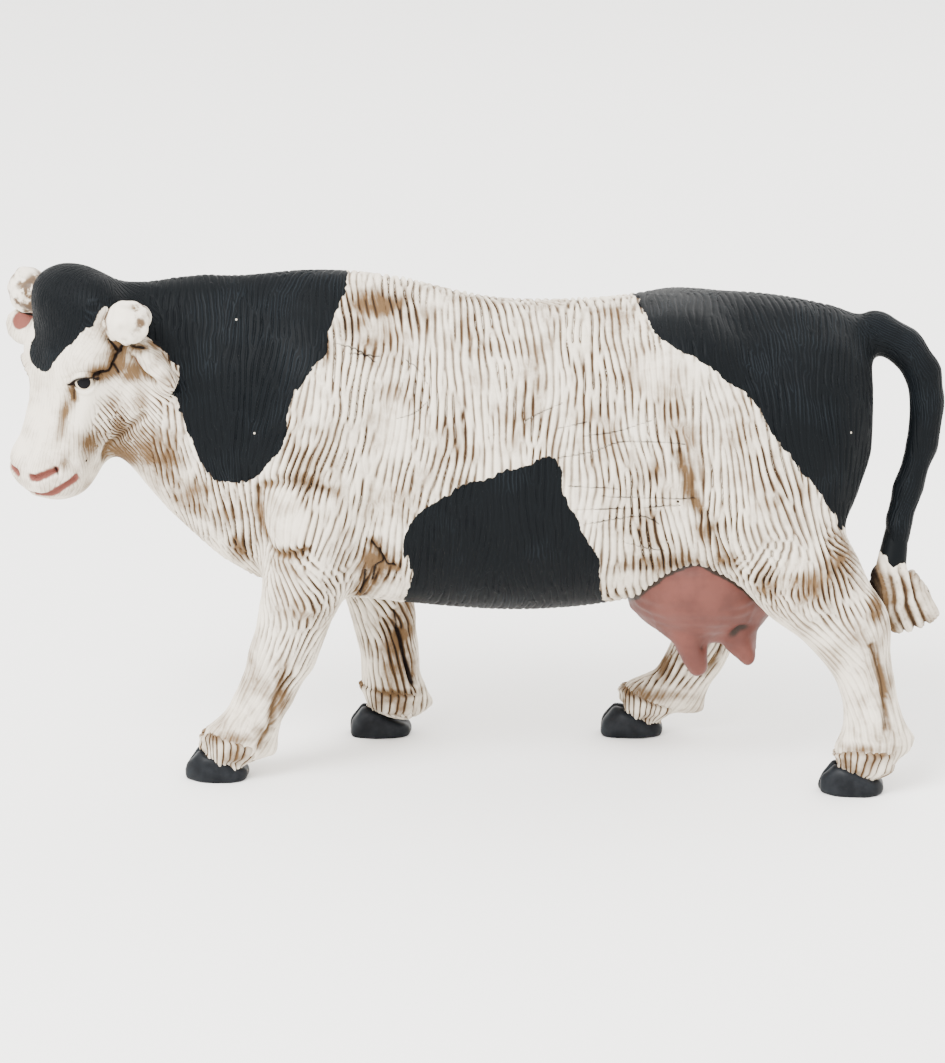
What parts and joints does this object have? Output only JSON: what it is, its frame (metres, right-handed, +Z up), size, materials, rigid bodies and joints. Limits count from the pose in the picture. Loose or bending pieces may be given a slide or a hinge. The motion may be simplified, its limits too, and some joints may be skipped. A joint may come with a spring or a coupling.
{
  "type": "cow figurine",
  "caption": "Painted crib figurine of a walking dairy cow, its head turned to its left, with knob horns, a full udder and a tail that swings back against the hock.",
  "frame": {"origin": "on the floor, under the middle of the figure's bounding box", "axes": "+Z up, the cow faces -Y, its left side is +X"},
  "size_m": [0.041, 0.15, 0.0818],
  "materials": {
    "painted_coat": "cast resin with carved hair, painted warm white with brown wash in the grooves and satin black patches",
    "painted_horn": "cast resin painted ivory with brown wash",
    "painted_eye": "black gloss paint",
    "painted_hoof": "satin black paint",
    "painted_udder": "flesh pink paint with a dark line round its edge"
  },
  "bodies": {
    "root": {"trunk": "painted_coat", "neck": "painted_coat", "head": "painted_coat", "ear_left": "painted_coat", "ear_right": "painted_coat", "horn_left": "painted_horn", "horn_right": "painted_horn", "eye_left": "painted_eye", "eye_right": "painted_eye", "front_leg_left": "painted_coat", "front_leg_right": "painted_coat", "hind_leg_left": "painted_coat", "hind_leg_right": "painted_coat", "front_hoof_left": "painted_hoof", "front_hoof_right": "painted_hoof", "hind_hoof_left": "painted_hoof", "hind_hoof_right": "painted_hoof", "udder": "painted_udder", "tail": "painted_coat", "tail_switch": "painted_coat"}
  },
  "joints": []
}
